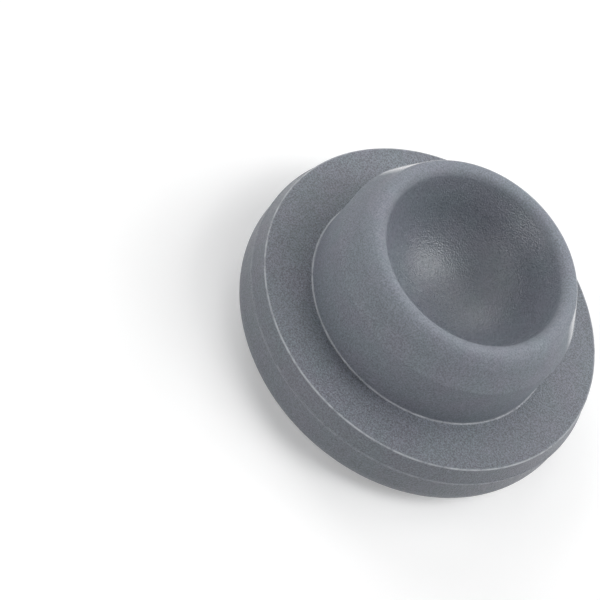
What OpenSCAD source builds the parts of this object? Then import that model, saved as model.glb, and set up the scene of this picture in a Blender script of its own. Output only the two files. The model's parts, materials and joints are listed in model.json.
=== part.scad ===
// Rubber stopper for a crimp-neck vial: a round flange with a hollow plug,
// moulded in one piece. It stands on the raised marks of its flange, with
// the plug pointing up, and Z = 0 is the plane that it stands on.

/* [Flange] */
// Diameter of the flange over its parting bead, the widest part of the stopper
flange_d = 19; // [15.6:0.1:24]
// Thickness of the flange between its top face and its sealing face
flange_t = 3.6; // [3:0.1:5]
// Radius of the round edge between the top face and the flange's side
flange_edge_r = 1.4; // [0.3:0.1:1.6]
// Radius of the thin bead round the side, where the two halves of the mould part
parting_bead_r = 0.04; // [0.02:0.01:0.1]
// Height of the tapered band between the parting bead and the sealing face
band_h = 1.1; // [0.4:0.1:1.3]
// How far the band leans in between the parting bead and the sealing face
band_taper = 0.21; // [0.05:0.01:0.6]

/* [Plug] */
// Diameter of the plug's straight wall, a press fit in the vial's neck
plug_d = 13.2; // [11:0.1:16]
// Height of the whole plug above the sealing face
plug_h = 5.05; // [4.2:0.05:7]
// Height of the straight wall above the sealing face
wall_h = 3.05; // [1.5:0.05:3.8]
// Angle between the lead-in cone and the plug's axis
lead_in_angle = 25; // [10:1:35]
// Radius of the lip where the lead-in cone turns over into its crest
lip_outer_r = 0.6; // [0.3:0.05:1]
// Radius of the lip where its crest turns down into the cavity
lip_inner_r = 0.5; // [0.1:0.05:0.6]
// Radius of the fillet between the plug's wall and the sealing face
root_fillet_r = 0.15; // [0.05:0.05:0.5]

/* [Cavity] */
// Thickness of the membrane that a needle pierces, below the deepest point of the cavity
membrane_t = 4.2; // [2:0.1:5]
// Angle between the cavity's wall and the plug's axis
cavity_angle = 25; // [10:1:40]

/* [Marks] */
// Height of the ring and the bars above the top face
mark_h = 0.3; // [0.1:0.05:0.6]
// Width of the ring and of each bar
mark_w = 0.45; // [0.3:0.05:0.8]
// Radius of the rounded crest edges on the ring and the bars
mark_edge_r = 0.1; // [0.02:0.01:0.1]
// Diameter of the ring, measured to the middle of its width
ring_d = 4; // [2:0.1:5]
// Number of bars round the ring
bar_count = 4; // [2:1:8]
// Gap between the ring and the inner end of each bar
bar_ring_gap = 1.9; // [0.3:0.1:2.2]
// Gap between the outer end of each bar and the start of the round edge
bar_edge_gap = 0.65; // [0:0.05:1.2]

/* [Hidden] */
$fn = 128;

// How far a cut runs past the surface that it opens
cut_over = 1;
// How far the marks reach into the flange that carries them
mark_root = 0.5;
// How far inside its round a tangent line ends, so that the two always meet
tuck = 0.0001;

flange_r = flange_d / 2;
side_r = flange_r - parting_bead_r;
sealing_edge_r = side_r - band_taper;
plug_r = plug_d / 2;
sealing_z = mark_h + flange_t;

// The lip: its outer round is tangent to the lead-in cone and to the crest
lip_outer_z = plug_h - lip_outer_r;
lip_r = plug_r - (lip_outer_z - wall_h) * tan(lead_in_angle) - lip_outer_r / cos(lead_in_angle);
shoulder_r = lip_r + (lip_outer_r - tuck) * cos(lead_in_angle);
shoulder_z = lip_outer_z + (lip_outer_r - tuck) * sin(lead_in_angle);
lip_inner_z = plug_h - lip_inner_r;

// The cavity: its wall is a cone, tangent to the lip's inner round above and to the bowl below
mouth_r = lip_r - (lip_inner_r - tuck) * cos(cavity_angle);
mouth_z = lip_inner_z + (lip_inner_r - tuck) * sin(cavity_angle);
floor_z = membrane_t - flange_t;
cone_end_r = mouth_r - (mouth_z - floor_z) * tan(cavity_angle);
bowl_r = cone_end_r * cos(cavity_angle) / (1 - sin(cavity_angle));
bowl_z = floor_z + bowl_r;
bowl_edge_r = (bowl_r - tuck) * cos(cavity_angle);
bowl_edge_z = bowl_z - (bowl_r - tuck) * sin(cavity_angle);

// The marks
bar_start = ring_d / 2 + mark_w / 2 + bar_ring_gap;
bar_end = side_r - flange_edge_r - bar_edge_gap;
bar_straight = bar_end - bar_start - mark_w;

// Half section of the flange, with the sealing face on the X axis
module flange_section() {
    polygon([
        [0, -flange_t],
        [side_r - flange_edge_r, -flange_t],
        [side_r - flange_edge_r, flange_edge_r - flange_t],
        [side_r, flange_edge_r - flange_t],
        [side_r, -band_h],
        [sealing_edge_r, 0],
        [0, 0]
    ]);
    translate([side_r - flange_edge_r, flange_edge_r - flange_t]) circle(flange_edge_r);
    translate([side_r, -band_h]) circle(parting_bead_r);
}

// Half section of the plug before it is hollowed: wall, lead-in cone and lip
module plug_section() {
    polygon([
        [0, -band_h],
        [plug_r, -band_h],
        [plug_r, wall_h],
        [shoulder_r, shoulder_z],
        [lip_r, lip_outer_z],
        [lip_r, plug_h],
        [0, plug_h]
    ]);
    translate([lip_r, lip_outer_z]) circle(lip_outer_r);
    difference() {
        translate([plug_r, 0]) square(root_fillet_r);
        translate([plug_r + root_fillet_r, root_fillet_r]) circle(root_fillet_r);
    }
}

// Half section of the cavity that hollows the plug: a cone that ends in a round bowl
module cavity_section() {
    difference() {
        polygon([
            [0, bowl_edge_z],
            [bowl_edge_r, bowl_edge_z],
            [mouth_r, mouth_z],
            [lip_r, lip_inner_z],
            [lip_r, plug_h + cut_over],
            [0, plug_h + cut_over]
        ]);
        translate([lip_r, lip_inner_z]) circle(lip_inner_r);
    }
    intersection() {
        translate([0, bowl_z]) circle(bowl_r);
        translate([0, floor_z]) square([bowl_r, bowl_r]);
    }
}

// The turned body: flange and hollow plug
module body() {
    translate([0, 0, sealing_z]) rotate_extrude() difference() {
        union() {
            flange_section();
            plug_section();
        }
        cavity_section();
    }
}

// Cross section of a mark, centred on its middle line, with its crest on the X axis
module mark_section() {
    translate([-mark_w / 2, mark_edge_r]) square([mark_w, mark_h + mark_root - mark_edge_r]);
    translate([mark_edge_r - mark_w / 2, 0]) square([mark_w - 2 * mark_edge_r, mark_edge_r]);
    for (side = [-1, 1])
        translate([side * (mark_w / 2 - mark_edge_r), mark_edge_r]) circle(mark_edge_r);
}

// The ring round the place where the needle goes in
module ring() {
    rotate_extrude() translate([ring_d / 2, 0]) mark_section();
}

// The round end of a bar
module bar_end_round() {
    rotate_extrude() intersection() {
        mark_section();
        square([mark_w, mark_h + mark_root]);
    }
}

// One bar along the X axis, with round ends
module bar() {
    translate([bar_start + mark_w / 2, 0, 0]) {
        bar_end_round();
        rotate([90, 0, 90]) linear_extrude(bar_straight) mark_section();
        translate([bar_straight, 0, 0]) bar_end_round();
    }
}

// The whole stopper, one solid
module stopper() {
    color([0.45, 0.46, 0.5]) {
        body();
        ring();
        for (i = [0:bar_count - 1]) rotate([0, 0, 360 * i / bar_count]) bar();
    }
}

stopper();
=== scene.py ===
"""A moulded rubber stopper for a crimp-neck vial, its rubber and the studio that it stands in."""

import json
from math import ceil, cos, pi, radians, sin, tan

import bmesh
import bpy
from bpy.props import FloatProperty, FloatVectorProperty, IntProperty, PointerProperty
from bpy.types import Operator, Panel, PropertyGroup
from mathutils import Matrix, Vector


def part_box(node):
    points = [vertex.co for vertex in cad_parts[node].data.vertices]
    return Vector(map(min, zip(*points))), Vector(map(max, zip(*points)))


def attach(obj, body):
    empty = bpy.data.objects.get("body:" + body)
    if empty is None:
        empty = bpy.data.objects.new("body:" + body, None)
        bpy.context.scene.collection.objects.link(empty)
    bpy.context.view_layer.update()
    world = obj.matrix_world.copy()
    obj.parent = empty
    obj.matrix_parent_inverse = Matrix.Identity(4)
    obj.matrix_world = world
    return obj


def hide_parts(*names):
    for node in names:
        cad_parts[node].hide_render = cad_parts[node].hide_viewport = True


bl_info = {
    "name": "Vial Stopper",
    "version": (1, 0, 0),
    "blender": (4, 5, 0),
    "location": "View3D > Sidebar > Stopper",
    "description": "Models a moulded rubber vial stopper and a plain studio round it",
    "category": "Add Mesh",
}

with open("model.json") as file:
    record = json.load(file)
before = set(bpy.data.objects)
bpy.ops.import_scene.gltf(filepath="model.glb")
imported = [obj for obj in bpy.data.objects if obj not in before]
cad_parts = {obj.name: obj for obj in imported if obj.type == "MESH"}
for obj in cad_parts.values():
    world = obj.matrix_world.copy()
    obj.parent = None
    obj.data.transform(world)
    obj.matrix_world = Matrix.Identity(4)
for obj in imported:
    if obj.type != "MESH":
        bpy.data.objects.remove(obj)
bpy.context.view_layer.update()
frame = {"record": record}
mounts = {mount["name"]: mount for mount in frame["record"]["mounts"]}
lowest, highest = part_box("stopper")

MM = 0.001
ORIGIN, Z_AXIS = Vector((0, 0, 0)), Vector((0, 0, 1))
FULL_TURN = 2 * pi
HALF_TURN = pi
QUARTER_TURN = pi / 2

# How finely the form is drawn: steps in a turn, and the angle of one step of an arc
BODY_STEPS = 288
RING_STEPS = 144
BAR_END_STEPS = 16
WIDE_ARC_STEP = radians(3)
SMALL_ARC_STEP = radians(11)
# An arc of this radius or less takes the coarser step
SMALL_RADIUS = 0.3 * MM
# A long straight run has one more vertex this far from each end, so its faces shade flat
HOLD = 0.03 * MM
SHORTEST_RUN = 0.0005 * MM
MERGE_DISTANCE = 0.0001 * MM
# How wide a strip of the marked face goes with the body, the ring and each bar
FACE_STRIP = 0.12 * MM


class StopperForm(PropertyGroup):
    """Sizes of the stopper, standing on its marks with the plug up"""

    flange_diameter: FloatProperty(
        name="Flange Diameter", description="Widest part of the stopper, over its parting bead",
        default=2 * min(*highest.xy, *-lowest.xy), unit="LENGTH",
    )
    flange_edge_radius: FloatProperty(
        name="Flange Edge", description="Round edge between the marked face and the side",
        default=1.4 * MM, unit="LENGTH",
    )
    sealing_height: FloatProperty(
        name="Sealing Height", description="Height of the sealing face above the floor",
        default=mounts["sealing_face"]["pos_m"][2], unit="LENGTH",
    )
    parting_bead: FloatProperty(
        name="Parting Bead", description="How far the bead where the mould parts stands out",
        default=0.04 * MM, unit="LENGTH",
    )
    band_height: FloatProperty(
        name="Band Height", description="Height of the tapered band below the sealing face",
        default=1.1 * MM, unit="LENGTH",
    )
    band_taper: FloatProperty(
        name="Band Taper", description="How far the band leans in up to the sealing face",
        default=0.21 * MM, unit="LENGTH",
    )
    sealing_edge_radius: FloatProperty(
        name="Sealing Edge", description="Wear on the edge between the band and the sealing face",
        default=0.05 * MM, unit="LENGTH",
    )
    plug_radius: FloatProperty(
        name="Plug Radius", description="Radius of the plug's straight wall",
        default=mounts["plug_wall"]["dims"]["r_mm"] * MM, unit="LENGTH",
    )
    total_height: FloatProperty(
        name="Total Height", description="Height of the lip's crest above the floor",
        default=highest.z, unit="LENGTH",
    )
    wall_height: FloatProperty(
        name="Wall Height", description="Height of the straight wall above the sealing face",
        default=3.05 * MM, unit="LENGTH",
    )
    root_radius: FloatProperty(
        name="Root Radius", description="Fillet between the plug's wall and the sealing face",
        default=0.08 * MM, unit="LENGTH",
    )
    shoulder_radius: FloatProperty(
        name="Shoulder Radius", description="Soft turn from the straight wall to the lead-in cone",
        default=0.3 * MM, unit="LENGTH",
    )
    lead_in_angle: FloatProperty(
        name="Lead-in Angle", description="Angle between the lead-in cone and the axis",
        default=radians(25), subtype="ANGLE",
    )
    lip_outer_radius: FloatProperty(
        name="Outer Lip", description="Round of the lip on its outer side",
        default=0.6 * MM, unit="LENGTH",
    )
    lip_inner_radius: FloatProperty(
        name="Inner Lip", description="Round of the lip on its cavity side",
        default=0.5 * MM, unit="LENGTH",
    )
    cavity_angle: FloatProperty(
        name="Cavity Angle", description="Angle between the cavity's wall and the axis",
        default=radians(25), subtype="ANGLE",
    )
    membrane: FloatProperty(
        name="Membrane", description="Thickness of rubber below the cavity's deepest point",
        default=4.2 * MM, unit="LENGTH",
    )
    mark_height: FloatProperty(
        name="Mark Height", description="How far the ring and the bars stand out",
        default=0.3 * MM, unit="LENGTH",
    )
    mark_width: FloatProperty(
        name="Mark Width", description="Width of the ring and of each bar",
        default=0.45 * MM, unit="LENGTH",
    )
    mark_edge_radius: FloatProperty(
        name="Mark Edge", description="Round on the crest edges of the ring and the bars",
        default=0.1 * MM, unit="LENGTH",
    )
    mark_root_radius: FloatProperty(
        name="Mark Root", description="Fillet where the ring and the bars meet the face",
        default=0.06 * MM, unit="LENGTH",
    )
    ring_diameter: FloatProperty(
        name="Ring Diameter", description="Diameter of the ring at the middle of its width",
        default=4 * MM, unit="LENGTH",
    )
    bar_count: IntProperty(
        name="Bars", description="Number of bars round the ring", default=4, min=2, max=8,
    )
    bar_ring_gap: FloatProperty(
        name="Inner Bar Gap", description="Gap between the ring and each bar",
        default=1.9 * MM, unit="LENGTH",
    )
    bar_edge_gap: FloatProperty(
        name="Outer Bar Gap", description="Gap between each bar and the flange's round edge",
        default=0.65 * MM, unit="LENGTH",
    )


class RubberFinish(PropertyGroup):
    """Colour and surface of the moulded rubber"""

    warm_colour: FloatVectorProperty(
        name="Warm Colour", description="Warmer patches of the filled rubber", subtype="COLOR",
        default=(0.19, 0.2, 0.235), min=0, max=1,
    )
    cool_colour: FloatVectorProperty(
        name="Cool Colour", description="Cooler patches of the filled rubber", subtype="COLOR",
        default=(0.183, 0.207, 0.234), min=0, max=1,
    )
    flange_tone: FloatProperty(
        name="Flange Tone", description="Tone of the flange, as a share of the plug's",
        default=0.87, min=0, max=1,
    )
    # Painted shade: the flange below its sealing face is darker in colour than its face
    side_painted_shade: FloatProperty(
        name="Side Tone", description="Tone of the flange's side, as a share of its face's",
        default=0.93, min=0, max=1,
    )
    wall_tone: FloatProperty(
        name="Wall Tone",
        description="Tone of the plug's wall and cone, as a share of its cavity's",
        default=0.97, min=0, max=2,
    )
    # Painted highlight: the lip is paler in colour than the cone, standing in for the light on its
    # crest
    lip_painted_highlight: FloatProperty(
        name="Lip Tone", description="Tone of the rubbed lip, as a share of the cone's",
        default=1.18, min=0, max=2,
    )
    # Paler lines: partly wear on the cut sealing edge, partly painted highlight on that edge, the
    # parting bead and the plug's root
    wear_and_highlight_colour: FloatVectorProperty(
        name="Edge Colour", description="Paler rubber where an edge was cut or rubbed",
        subtype="COLOR", default=(0.46, 0.48, 0.51), min=0, max=1,
    )
    flange_roughness: FloatProperty(
        name="Flange Roughness", description="Roughness of the flange",
        default=0.42, min=0, max=1,
    )
    cavity_roughness: FloatProperty(
        name="Cavity Roughness",
        description="Roughness of the cavity, which a polished pin moulds",
        default=0.28, min=0, max=1,
    )
    plug_roughness: FloatProperty(
        name="Plug Roughness", description="Roughness of the plug's outside",
        default=0.7, min=0, max=1,
    )
    gleam_roughness: FloatProperty(
        name="Gleam Roughness",
        description="Roughness of the gleam on the lead-in cone seen edge on",
        default=0.12, min=0, max=1,
    )
    grain_size: FloatProperty(
        name="Grain Size", description="Size of the fine grain left by the mould",
        default=0.075 * MM, unit="LENGTH",
    )
    flange_grain_depth: FloatProperty(
        name="Flange Grain", description="Depth of the flange's grain",
        default=0.035 * MM, unit="LENGTH",
    )
    cavity_grain_depth: FloatProperty(
        name="Cavity Grain", description="Depth of the cavity's grain",
        default=0.026 * MM, unit="LENGTH",
    )
    outside_grain_depth: FloatProperty(
        name="Plug Grain", description="Depth of the grain on the plug's smooth outside",
        default=0.004 * MM, unit="LENGTH",
    )
    # Painted shade: the grain's hollows are darker in colour than its crests
    grain_painted_shade: FloatProperty(
        name="Grain Shade", description="How far the grain's hollows are darker than its crests",
        default=0.1, min=0, max=1,
    )
    speckle_size: FloatProperty(
        name="Speckle Size", description="Size of the filler's speckle",
        default=0.08 * MM, unit="LENGTH",
    )
    face_speckle: FloatProperty(
        name="Face Speckle", description="How far the speckle shows on the sealing face",
        default=0.38, min=0, max=1,
    )
    side_speckle: FloatProperty(
        name="Side Speckle", description="How far the speckle shows on the rest of the flange",
        default=0.25, min=0, max=1,
    )
    plug_speckle: FloatProperty(
        name="Plug Speckle", description="How far the speckle shows on the plug",
        default=0.22, min=0, max=1,
    )
    cloud_size: FloatProperty(
        name="Cloud Size", description="Size of the soft clouds in the colour",
        default=1.6 * MM, unit="LENGTH",
    )
    break_size: FloatProperty(
        name="Break Size", description="Size of the breaks in the pale lines and in the gloss",
        default=0.5 * MM, unit="LENGTH",
    )


class StopperStudio(PropertyGroup):
    """The floor, the lamps' width and the camera's place"""

    floor_size: FloatProperty(
        name="Floor Size", description="Side of the square floor", default=3, unit="LENGTH",
    )
    floor_colour: FloatVectorProperty(
        name="Floor Colour", description="Colour of the paper floor", subtype="COLOR",
        default=(0.8, 0.8, 0.8), min=0, max=1,
    )
    floor_lift: FloatProperty(
        name="Floor Lift", description="How much brighter the floor looks than its light makes it",
        default=0.3, min=0, max=1,
    )
    lamp_angle: FloatProperty(
        name="Lamp Width", description="How wide each soft lamp looks from the stopper",
        default=radians(30), subtype="ANGLE",
    )
    camera_elevation: FloatProperty(
        name="Camera Elevation", description="Angle of the camera above the floor",
        default=radians(49.469), subtype="ANGLE",
    )
    camera_azimuth: FloatProperty(
        name="Camera Azimuth", description="Direction of the camera from the X axis",
        default=radians(-88.877), subtype="ANGLE",
    )
    camera_roll: FloatProperty(
        name="Camera Roll", description="Turn of the camera about its own line of sight",
        default=radians(41.64), subtype="ANGLE",
    )
    camera_distance: FloatProperty(
        name="Camera Distance", description="Distance of the camera from its aim",
        default=397.8 * MM, unit="LENGTH",
    )
    camera_aim: FloatVectorProperty(
        name="Camera Aim", description="Point on the sealing plane that the camera looks at",
        default=(-5.065 * MM, -5.477 * MM, 3.9 * MM), subtype="TRANSLATION", unit="LENGTH",
    )
    camera_lens: FloatProperty(
        name="Camera Lens", description="Focal length in millimetres", default=480,
    )


# --- Drawing outlines -------------------------------------------------------------------------


def pull_to(mesh, tip, place):
    """Extrudes the outline's last vertex to a place, with a short hold at each end of the run."""
    start, run = tip.co.copy(), place - tip.co
    if run.length < SHORTEST_RUN:
        return tip
    hold = min(HOLD, run.length / 3)
    for reach in (hold, run.length - hold, run.length):
        tip = bmesh.ops.extrude_vert_indiv(mesh, verts=[tip])["verts"][0]
        tip.co = start + run.normalized() * reach
    return tip


def round_corner(mesh, tip, before, corner, after, radius):
    """Pulls the outline's last vertex to a corner and round it, on a true arc."""
    towards, onwards = (corner - before).normalized(), (after - corner).normalized()
    turn = towards.angle(onwards)
    cut = radius * tan(turn / 2)
    tip = pull_to(mesh, tip, corner - towards * cut)
    if radius == 0:
        return tip
    inwards = (onwards - towards).normalized()
    step = WIDE_ARC_STEP if radius > SMALL_RADIUS else SMALL_ARC_STEP
    spun = bmesh.ops.spin(
        mesh, geom=[tip], cent=corner + inwards * radius / cos(turn / 2),
        axis=towards.cross(onwards), angle=turn, steps=ceil(turn / step),
    )
    return spun["geom_last"][0]


def draw_outline(mesh, corners):
    """Draws an outline through (radius, height, rounding) corners in the XZ plane."""
    first = len(mesh.verts)
    places = [Vector((radius, 0, height)) for radius, height, rounding in corners]
    tip = mesh.verts.new(places[0])
    for before, corner, after, (radius, height, rounding) in zip(
        places, places[1:], places[2:], corners[1:]
    ):
        tip = round_corner(mesh, tip, before, corner, after, rounding)
    pull_to(mesh, tip, places[-1])
    mesh.verts.ensure_lookup_table()
    drawn = mesh.verts[first:]
    return drawn + list({edge for vert in drawn for edge in vert.link_edges})


def turn_outline(mesh, corners, steps):
    """Turns an outline full circle about the stopper's axis."""
    outline = draw_outline(mesh, corners)
    bmesh.ops.spin(
        mesh, geom=outline, cent=ORIGIN, axis=Z_AXIS, angle=FULL_TURN, steps=steps, use_merge=True,
    )


# --- The stopper's sub-parts ------------------------------------------------------------------


def body_corners(form):
    """Half section of the turned body, from the marked face round to the cavity's floor."""
    flange = form.flange_diameter / 2
    side = flange - form.parting_bead
    flat_end = side - form.flange_edge_radius
    parting_z = form.sealing_height - form.band_height
    bead_foot, bead_top = parting_z - form.parting_bead, parting_z + form.parting_bead
    wall_end = form.sealing_height + form.wall_height
    crest = form.total_height

    lead_in = form.plug_radius - (crest - wall_end) * tan(form.lead_in_angle)
    crest_turn = QUARTER_TURN - form.lead_in_angle
    lip = lead_in - form.lip_outer_radius * tan(crest_turn / 2)
    mouth_turn = QUARTER_TURN - form.cavity_angle
    mouth = lip - form.lip_inner_radius * tan(mouth_turn / 2)

    floor_z = form.membrane + form.mark_height
    cone_end = mouth - (crest - floor_z) * tan(form.cavity_angle)
    bowl_radius = cone_end / tan(mouth_turn / 2)
    bead_foot_radius, bead_edge_radius = form.parting_bead / 4, form.parting_bead * 3 / 4
    return [
        (flat_end - FACE_STRIP, form.mark_height, 0),
        (side, form.mark_height, form.flange_edge_radius),
        (side, bead_foot, bead_foot_radius),
        (flange, bead_foot, bead_edge_radius),
        (flange, bead_top, bead_edge_radius),
        (side, bead_top, bead_foot_radius),
        (side - form.band_taper, form.sealing_height, form.sealing_edge_radius),
        (form.plug_radius, form.sealing_height, form.root_radius),
        (form.plug_radius, wall_end, form.shoulder_radius),
        (lead_in, crest, form.lip_outer_radius),
        (mouth, crest, form.lip_inner_radius),
        (cone_end, floor_z, bowl_radius),
        (0, floor_z, 0),
    ]


def ring_corners(form):
    """Section of the raised ring, with the flat disc that it surrounds."""
    inner = (form.ring_diameter - form.mark_width) / 2
    outer = inner + form.mark_width
    return [
        (0, form.mark_height, 0),
        (inner, form.mark_height, form.mark_root_radius),
        (inner, 0, form.mark_edge_radius),
        (outer, 0, form.mark_edge_radius),
        (outer, form.mark_height, form.mark_root_radius),
        (outer + FACE_STRIP, form.mark_height, 0),
    ]


def bar_corners(form):
    """Half section of a raised bar, from the middle of its crest out to the marked face."""
    half_width = form.mark_width / 2
    return [
        (0, 0, 0),
        (half_width, 0, form.mark_edge_radius),
        (half_width, form.mark_height, form.mark_root_radius),
        (half_width + FACE_STRIP, form.mark_height, 0),
    ]


def sweep_end(mesh, section, centre):
    """Turns a bar's section half round the bar's end and gives the section on the far side."""
    spun = bmesh.ops.spin(
        mesh, geom=section, cent=centre, axis=Z_AXIS, angle=HALF_TURN, steps=BAR_END_STEPS,
    )
    return spun["geom_last"]


def sweep_side(mesh, section, travel):
    """Draws a bar's section out along one side of the bar and gives its copy at the end."""
    edges = [item for item in section if isinstance(item, bmesh.types.BMEdge)]
    drawn = bmesh.ops.extrude_edge_only(mesh, edges=edges)["geom"]
    moved = [item for item in drawn if isinstance(item, bmesh.types.BMVert)]
    bmesh.ops.translate(mesh, verts=moved, vec=travel)
    return moved + [edge for edge in mesh.edges if all(vert in moved for vert in edge.verts)]


def turn_part(part, angle):
    """Turns a part about the stopper's axis."""
    turn = Matrix.Rotation(angle, 3, "Z")
    bmesh.ops.rotate(part, verts=part.verts, cent=ORIGIN, matrix=turn)


def raise_bar(mesh, form, heading):
    """One bar: its half section swept round one end, back along, round the other and home."""
    half_width = form.mark_width / 2
    inner = Vector((form.ring_diameter / 2 + half_width + form.bar_ring_gap + half_width, 0, 0))
    rim = form.flange_diameter / 2 - form.parting_bead - form.flange_edge_radius
    outer = Vector((rim - form.bar_edge_gap - half_width, 0, 0))

    bar = bmesh.new()
    section = draw_outline(bar, bar_corners(form))
    turn_part(bar, -QUARTER_TURN)
    bmesh.ops.translate(bar, verts=bar.verts, vec=outer)
    section = sweep_end(bar, section, outer)
    section = sweep_side(bar, section, inner - outer)
    section = sweep_end(bar, section, inner)
    sweep_side(bar, section, outer - inner)
    turn_part(bar, heading)
    add_to(mesh, bar)


def add_to(mesh, part):
    """Adds a part to the stopper's mesh, and frees it."""
    holder = bpy.data.meshes.new("part")
    part.to_mesh(holder)
    part.free()
    mesh.from_mesh(holder)
    bpy.data.meshes.remove(holder)


def close_marked_face(mesh):
    """Fills the flat face between the body, the ring and the bars."""
    open_edges = [edge for edge in mesh.edges if edge.is_boundary]
    bmesh.ops.triangle_fill(mesh, use_beauty=True, edges=open_edges, normal=-Z_AXIS)


def mould(form):
    """The whole stopper as one closed mesh."""
    mesh = bmesh.new()
    turn_outline(mesh, body_corners(form), BODY_STEPS)
    ring = bmesh.new()
    turn_outline(ring, ring_corners(form), RING_STEPS)
    add_to(mesh, ring)
    for index in range(form.bar_count):
        raise_bar(mesh, form, FULL_TURN * index / form.bar_count)
    bmesh.ops.remove_doubles(mesh, verts=mesh.verts, dist=MERGE_DISTANCE)
    close_marked_face(mesh)
    bmesh.ops.recalc_face_normals(mesh, faces=mesh.faces)
    for face in mesh.faces:
        face.smooth = True
    if any(not edge.is_manifold for edge in mesh.edges):
        raise RuntimeError("the stopper's mesh is not closed")
    return mesh


# --- The rubber -------------------------------------------------------------------------------

# Nearly all of a noise's values lie between these two
NOISE_SPAN = (0.3, 0.7)
NOISE_MIDDLE = 0.5
CLOUD_SPAN = (0.35, 0.65)
BREAK_SPAN = (0.3, 0.6)
# How much of a pale line is left where it is broken
LEAST_WEAR_AND_HIGHLIGHT = 0.3
# How pale the painted highlights on the parting line and the plug's root are, as shares of the
# sealing face's edge
PARTING_PAINTED_HIGHLIGHT, ROOT_PAINTED_HIGHLIGHT = 0.4, 0.8
SHARP_LINE, SOFT_LINE = 0.1 * MM, 0.12 * MM
# The roughness varies between these shares of its value
ROUGHNESS_SPAN = (0.9, 1.1)
# Radius just inside the cavity's mouth, as a share of the plug's
MOUTH_SHARE = 0.72
# How far down the cone the lip's painted highlight reaches, in its own radii
LIP_REACH = 1.5
ZONE_FADE = 0.2 * MM
# The cone starts to gleam at the first of these values of Facing, and gleams fully at the second
GLEAM_SPAN = (0.8, 0.88)
# A Mix node has sockets for each kind of data, and these are those for colours
MIX_FIRST, MIX_SECOND, MIX_RESULT = 6, 7, 2


def new_group(name, values, output):
    """A shader node group that makes a number from a vector and named values."""
    group = bpy.data.node_groups.new(name, "ShaderNodeTree")
    group.interface.new_socket("Vector", in_out="INPUT", socket_type="NodeSocketVector")
    for value in values:
        group.interface.new_socket(value, in_out="INPUT", socket_type="NodeSocketFloat")
    group.interface.new_socket(output, in_out="OUTPUT", socket_type="NodeSocketFloat")
    return group, group.nodes.new("NodeGroupInput"), group.nodes.new("NodeGroupOutput")


def place_group(tree, group, vector, output, **values):
    """Places a node group in a material with its own values; gives one of its outputs."""
    node = tree.nodes.new("ShaderNodeGroup")
    node.node_tree = group
    tree.links.new(vector, node.inputs["Vector"])
    for name, value in values.items():
        node.inputs[name].default_value = value
    return node.outputs[output]


def feed(tree, socket, value):
    """Links a socket to another one, or sets it to a plain value."""
    if isinstance(value, bpy.types.NodeSocket):
        tree.links.new(value, socket)
    else:
        socket.default_value = value


def math_node(tree, operation, *values):
    """A Math node; each value is a number or a socket to link."""
    node = tree.nodes.new("ShaderNodeMath")
    node.operation = operation
    for socket, value in zip(node.inputs, values):
        feed(tree, socket, value)
    return node.outputs["Value"]


def combine(tree, operation, first, *others):
    """A chain of Math nodes that takes in any number of masks and values."""
    for other in others:
        first = math_node(tree, operation, first, other)
    return first


def vector_math(tree, operation, vector, other=None, scale=None):
    """A Vector Math node on a linked vector; gives the node."""
    node = tree.nodes.new("ShaderNodeVectorMath")
    node.operation = operation
    tree.links.new(vector, node.inputs[0])
    if other is not None:
        node.inputs[1].default_value = other
    if scale is not None:
        tree.links.new(scale, node.inputs["Scale"])
    return node


def remap(tree, value, low, high, new_low, new_high):
    """A Map Range node from one range to another."""
    node = tree.nodes.new("ShaderNodeMapRange")
    for socket, given in zip(node.inputs, (value, low, high, new_low, new_high)):
        feed(tree, socket, given)
    return node.outputs["Result"]


def mix_colour(tree, factor, first, second):
    """A colour Mix node; each colour is a value or a socket to link."""
    node = tree.nodes.new("ShaderNodeMix")
    node.data_type = "RGBA"
    tree.links.new(factor, node.inputs["Factor"])
    feed(tree, node.inputs[MIX_FIRST], first)
    feed(tree, node.inputs[MIX_SECOND], second)
    return node.outputs[MIX_RESULT]


def make_grain_group():
    """Grain: an even noise of a given size, in metres."""
    group, given, result = new_group("Grain", ("Size", "Detail"), "Height")
    per_metre = math_node(group, "DIVIDE", 1, given.outputs["Size"])
    spread = vector_math(group, "SCALE", given.outputs["Vector"], scale=per_metre)
    texture = group.nodes.new("ShaderNodeTexNoise")
    texture.inputs["Scale"].default_value = 1
    group.links.new(spread.outputs["Vector"], texture.inputs["Vector"])
    group.links.new(given.outputs["Detail"], texture.inputs["Detail"])
    group.links.new(texture.outputs["Fac"], result.inputs["Height"])
    return group


def measure_from(group, given):
    """How far a group's Vector lies beyond its Radius from the axis and above its Height."""
    flat = vector_math(group, "MULTIPLY", given.outputs["Vector"], other=(1, 1, 0))
    radius = vector_math(group, "LENGTH", flat.outputs["Vector"])
    height = vector_math(group, "DOT_PRODUCT", given.outputs["Vector"], other=Z_AXIS)
    return [
        math_node(group, "SUBTRACT", measure.outputs["Value"], given.outputs[start])
        for measure, start in ((radius, "Radius"), (height, "Height"))
    ]


def make_turned_line_group():
    """Turned Line: 1 on a circle round the axis at a given radius and height, fading to 0."""
    group, given, result = new_group("Turned Line", ("Radius", "Height", "Width"), "Mask")
    squares = [math_node(group, "MULTIPLY", way, way) for way in measure_from(group, given)]
    distance = math_node(group, "SQRT", math_node(group, "ADD", *squares))
    fade = remap(group, distance, 0, given.outputs["Width"], 1, 0)
    fade.node.interpolation_type = "SMOOTHSTEP"
    group.links.new(fade, result.inputs["Mask"])
    return group


def make_turned_zone_group():
    """Turned Zone: 1 beyond a given radius and height, fading to 0 within a given width."""
    group, given, result = new_group("Turned Zone", ("Radius", "Height", "Width"), "Mask")
    shares = []
    for past in measure_from(group, given):
        share = math_node(group, "DIVIDE", past, given.outputs["Width"])
        share.node.use_clamp = True
        shares.append(share)
    group.links.new(math_node(group, "MULTIPLY", *shares), result.inputs["Mask"])
    return group


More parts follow.
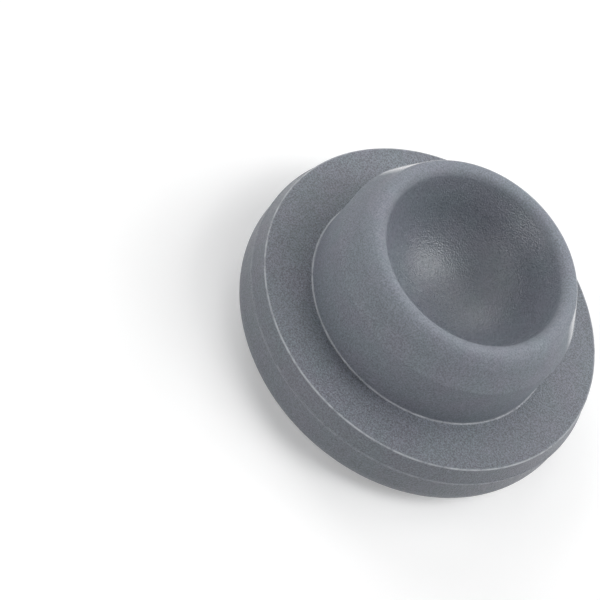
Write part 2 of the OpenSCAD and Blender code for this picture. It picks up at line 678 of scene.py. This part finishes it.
def mask_regions(tree, place, form):
    """Masks of the stopper's regions by name, each 1 on its region and 0 below it."""
    zone = make_turned_zone_group()
    any_radius, mouth = -form.plug_radius, form.plug_radius * MOUTH_SHARE
    face_edge, lip_depth = form.sealing_edge_radius, form.lip_outer_radius * LIP_REACH
    regions = {
        "face and plug": (any_radius, form.sealing_height - face_edge, face_edge),
        "plug": (any_radius, form.sealing_height, form.root_radius),
        "plug's outside": (mouth, form.sealing_height + form.root_radius, ZONE_FADE),
        "cone": (mouth, form.sealing_height + form.wall_height, ZONE_FADE),
        "lip": (mouth, form.total_height - lip_depth, form.lip_outer_radius),
    }
    return {
        name: place_group(tree, zone, place, "Mask", Radius=radius, Height=height, Width=width)
        for name, (radius, height, width) in regions.items()
    }


def mask_wear_and_highlight(tree, place, breaks, form):
    """A mask of the pale broken lines on the sealing face's edge, the parting and the root: partly
    wear, partly painted highlight.
    """
    line = make_turned_line_group()
    side = form.flange_diameter / 2 - form.parting_bead
    parting_height = form.sealing_height - form.band_height
    pale_lines = []
    for radius, height, width, strength in (
        (side - form.band_taper, form.sealing_height, SHARP_LINE, 1),
        (side, parting_height, SOFT_LINE, PARTING_PAINTED_HIGHLIGHT),
        (form.plug_radius, form.sealing_height, SOFT_LINE, ROOT_PAINTED_HIGHLIGHT),
    ):
        mask = place_group(tree, line, place, "Mask", Radius=radius, Height=height, Width=width)
        pale_lines.append(math_node(tree, "MULTIPLY", mask, strength))
    left = remap(tree, breaks, *BREAK_SPAN, LEAST_WEAR_AND_HIGHLIGHT, 1)
    return math_node(tree, "MULTIPLY", combine(tree, "MAXIMUM", *pale_lines), left)


def blend_tone(tree, masks, pebbles, speckle, finish):
    """How pale the rubber is: its grain with painted shade in the hollows, its speckle, and the
    tone of each region.
    """
    # Painted shade in the grain's hollows, with paler crests
    crest = remap(tree, pebbles, *NOISE_SPAN, 1 - finish.grain_painted_shade, 1 + finish.grain_painted_shade)
    fleck = combine(
        tree, "MULTIPLY", remap(tree, speckle, *NOISE_SPAN, -1, 1),
        remap(tree, masks["plug"], 0, 1, finish.face_speckle, finish.plug_speckle),
        remap(tree, masks["face and plug"], 0, 1, finish.side_speckle / finish.face_speckle, 1),
    )
    return combine(
        tree, "MULTIPLY", math_node(tree, "ADD", crest, fleck),
        remap(tree, masks["plug"], 0, 1, finish.flange_tone, 1),
        # Painted shade on the flange below its sealing face
        remap(tree, masks["face and plug"], 0, 1, finish.side_painted_shade, 1),
        remap(tree, masks["plug's outside"], 0, 1, 1, finish.wall_tone),
        # Painted highlight on the lip
        remap(tree, masks["lip"], 0, 1, 1, finish.lip_painted_highlight),
    )


def make_rubber(form, finish):
    """Matte filled rubber: mould grain, speckle and clouds, pale edges that are partly wear and
    partly painted highlight, painted shade and highlight by region, and a smooth plug.
    """
    material = bpy.data.materials.new("moulded_rubber")
    material.use_nodes = True
    tree = material.node_tree
    surface = tree.nodes["Principled BSDF"]
    place = tree.nodes.new("ShaderNodeTexCoord").outputs["Object"]
    masks = mask_regions(tree, place, form)
    grain = make_grain_group()
    pebbles, speckle, clouds, breaks = (
        place_group(tree, grain, place, "Height", Size=size, Detail=detail)
        for size, detail in (
            (finish.grain_size, 0.5), (finish.speckle_size, 1),
            (finish.cloud_size, 3), (finish.break_size, 2),
        )
    )

    patches = mix_colour(
        tree, remap(tree, clouds, *CLOUD_SPAN, 0, 1),
        (*finish.warm_colour, 1), (*finish.cool_colour, 1),
    )
    tint = tree.nodes.new("ShaderNodeHueSaturation")
    tree.links.new(patches, tint.inputs["Color"])
    tree.links.new(blend_tone(tree, masks, pebbles, speckle, finish), tint.inputs["Value"])
    wear_and_painted_highlight = mask_wear_and_highlight(tree, place, breaks, form)
    # Pale lines: partly wear, partly painted highlight on the sealing edge, the parting bead and
    # the plug's root
    colour = mix_colour(tree, wear_and_painted_highlight, tint.outputs["Color"], (*finish.wear_and_highlight_colour, 1))
    tree.links.new(colour, surface.inputs["Base Color"])

    edge_on = tree.nodes.new("ShaderNodeLayerWeight").outputs["Facing"]
    gleam = math_node(tree, "MULTIPLY", masks["cone"], remap(tree, edge_on, *GLEAM_SPAN, 0, 1))
    tree.links.new(gleam, surface.inputs["Coat Weight"])
    surface.inputs["Coat Roughness"].default_value = finish.gleam_roughness

    outside_more = finish.plug_roughness - finish.cavity_roughness
    rough = math_node(
        tree, "ADD",
        remap(tree, masks["plug"], 0, 1, finish.flange_roughness, finish.cavity_roughness),
        remap(tree, masks["plug's outside"], 0, 1, 0, outside_more),
    )
    uneven = remap(tree, breaks, *NOISE_SPAN, *ROUGHNESS_SPAN)
    tree.links.new(math_node(tree, "MULTIPLY", rough, uneven), surface.inputs["Roughness"])

    cavity_share = finish.cavity_grain_depth / finish.flange_grain_depth
    outside_share = finish.outside_grain_depth / finish.cavity_grain_depth
    relief = combine(
        tree, "MULTIPLY", math_node(tree, "SUBTRACT", pebbles, NOISE_MIDDLE),
        remap(tree, masks["plug"], 0, 1, 1, cavity_share),
        remap(tree, masks["plug's outside"], 0, 1, 1, outside_share),
    )
    bump = tree.nodes.new("ShaderNodeBump")
    bump.inputs["Distance"].default_value = finish.flange_grain_depth
    tree.links.new(relief, bump.inputs["Height"])
    tree.links.new(bump.outputs["Normal"], surface.inputs["Normal"])
    return material


# --- The moulding operator --------------------------------------------------------------------


class STOPPER_OT_mould(Operator):
    """Mould the stopper in one piece and finish it as matte rubber"""

    bl_idname = "stopper.mould"
    bl_label = "Mould Stopper"

    def execute(self, context):
        form, finish = context.scene.stopper_form, context.scene.rubber_finish
        shape = bpy.data.meshes.new("moulded_stopper")
        mesh = mould(form)
        mesh.to_mesh(shape)
        mesh.free()
        shape.materials.append(make_rubber(form, finish))
        piece = bpy.data.objects.new("moulded_stopper", shape)
        context.scene.collection.objects.link(piece)
        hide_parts("stopper")
        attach(piece, "root")
        return {"FINISHED"}


# --- The studio -------------------------------------------------------------------------------

# The camera sees nothing nearer than this share of its distance
NEAR_SHARE = 0.01
# Each soft lamp: its direction from the X axis and above the floor in degrees, and its strength
LAMPS = {
    "top": (0, 70, 0.51),
    "top_back": (120, 70, 0.26),
    "right_high": (18, 50, 0.85),
    "right": (30, 32, 0.69),
    "right_back": (60, 32, 0.57),
    "back": (120, 32, 0.44),
    "left_back": (150, 32, 0.87),
    "left": (-150, 32, 0.29),
    "left_low": (-122, 7, 0.45),
    "front_low": (-105, 14, 0.6),
}


def direction(azimuth, elevation):
    """Unit vector at an azimuth from the X axis and an elevation above the floor."""
    return Vector((cos(elevation) * cos(azimuth), cos(elevation) * sin(azimuth), sin(elevation)))


def add_lamp(scene, name, azimuth, elevation, strength, width):
    """A soft lamp far away, which shines on the stopper from one direction."""
    lamp = bpy.data.lights.new(name, "SUN")
    lamp.energy = strength
    lamp.angle = width
    holder = bpy.data.objects.new(name, lamp)
    towards_stopper = -direction(radians(azimuth), radians(elevation))
    holder.rotation_mode = "QUATERNION"
    holder.rotation_quaternion = towards_stopper.to_track_quat("-Z", "Y")
    scene.collection.objects.link(holder)


def seen_directly(tree):
    """1 for what the camera, a reflection or a clear body sees, else 0."""
    path = tree.nodes.new("ShaderNodeLightPath")
    seen = math_node(tree, "ADD", path.outputs["Is Camera Ray"], path.outputs["Is Glossy Ray"])
    return math_node(tree, "ADD", seen, path.outputs["Is Transmission Ray"])


def make_floor_paper(studio):
    """Pale matte paper that the camera sees as white, apart from the shadow on it."""
    material = bpy.data.materials.new("floor_paper")
    material.use_nodes = True
    tree = material.node_tree
    paper = tree.nodes["Principled BSDF"]
    paper.inputs["Base Color"].default_value = (*studio.floor_colour, 1)
    paper.inputs["Roughness"].default_value = 1
    paper.inputs["Specular IOR Level"].default_value = 0
    lift = tree.nodes.new("ShaderNodeEmission")
    lifted = math_node(tree, "MULTIPLY", seen_directly(tree), studio.floor_lift)
    tree.links.new(lifted, lift.inputs["Strength"])
    both = tree.nodes.new("ShaderNodeAddShader")
    tree.links.new(paper.outputs["BSDF"], both.inputs[0])
    tree.links.new(lift.outputs["Emission"], both.inputs[1])
    tree.links.new(both.outputs["Shader"], tree.nodes["Material Output"].inputs["Surface"])
    return material


def add_floor(scene, studio):
    """The square paper floor."""
    mesh = bmesh.new()
    bmesh.ops.create_grid(mesh, x_segments=1, y_segments=1, size=studio.floor_size / 2)
    shape = bpy.data.meshes.new("floor")
    mesh.to_mesh(shape)
    mesh.free()
    shape.materials.append(make_floor_paper(studio))
    floor = bpy.data.objects.new("floor", shape)
    scene.collection.objects.link(floor)


def set_world(scene):
    """A white backdrop that gives no light of its own."""
    world = bpy.data.worlds.new("backdrop")
    world.use_nodes = True
    tree = world.node_tree
    sky = tree.nodes["Background"]
    sky.inputs["Color"].default_value = (1, 1, 1, 1)
    tree.links.new(seen_directly(tree), sky.inputs["Strength"])
    scene.world = world


def add_camera(scene, studio):
    """The camera, turned about its line of sight."""
    lens = bpy.data.cameras.new("camera")
    lens.lens = studio.camera_lens
    lens.clip_start = studio.camera_distance * NEAR_SHARE
    holder = bpy.data.objects.new("camera", lens)
    back = direction(studio.camera_azimuth, studio.camera_elevation)
    upright = (-back).to_track_quat("-Z", "Y").to_matrix().to_4x4()
    place = Vector(studio.camera_aim) + back * studio.camera_distance
    roll = Matrix.Rotation(studio.camera_roll, 4, "Z")
    holder.matrix_world = Matrix.Translation(place) @ upright @ roll
    scene.collection.objects.link(holder)
    scene.camera = holder


class STOPPER_OT_set_studio(Operator):
    """Lay the floor and set the lamps, the backdrop and the camera"""

    bl_idname = "stopper.set_studio"
    bl_label = "Set Studio"

    def execute(self, context):
        scene, studio = context.scene, context.scene.stopper_studio
        add_floor(scene, studio)
        set_world(scene)
        for name, (azimuth, elevation, strength) in LAMPS.items():
            add_lamp(scene, name, azimuth, elevation, strength, studio.lamp_angle)
        add_camera(scene, studio)
        scene.view_settings.view_transform = "Standard"
        return {"FINISHED"}


# --- The add-on -------------------------------------------------------------------------------

GROUPS = {
    "stopper_form": StopperForm, "rubber_finish": RubberFinish, "stopper_studio": StopperStudio,
}
OPERATORS = (STOPPER_OT_mould, STOPPER_OT_set_studio)


class STOPPER_PT_sidebar(Panel):
    """Lists the stopper's operators and sizes"""

    bl_idname = "STOPPER_PT_sidebar"
    bl_label = "Vial Stopper"
    bl_space_type = "VIEW_3D"
    bl_region_type = "UI"
    bl_category = "Stopper"

    def draw(self, context):
        for operator in OPERATORS:
            self.layout.operator(operator.bl_idname)
        for name, group in GROUPS.items():
            box = self.layout.box()
            for value in group.__annotations__:
                box.prop(getattr(context.scene, name), value)


CLASSES = (*GROUPS.values(), *OPERATORS, STOPPER_PT_sidebar)


def register():
    for cls in CLASSES:
        bpy.utils.register_class(cls)
    for name, group in GROUPS.items():
        setattr(bpy.types.Scene, name, PointerProperty(type=group))


def unregister():
    for name in GROUPS:
        delattr(bpy.types.Scene, name)
    for cls in reversed(CLASSES):
        bpy.utils.unregister_class(cls)


def main():
    """Builds everything."""
    register()
    bpy.ops.stopper.mould()
    bpy.ops.stopper.set_studio()


if __name__ == "__main__":
    main()
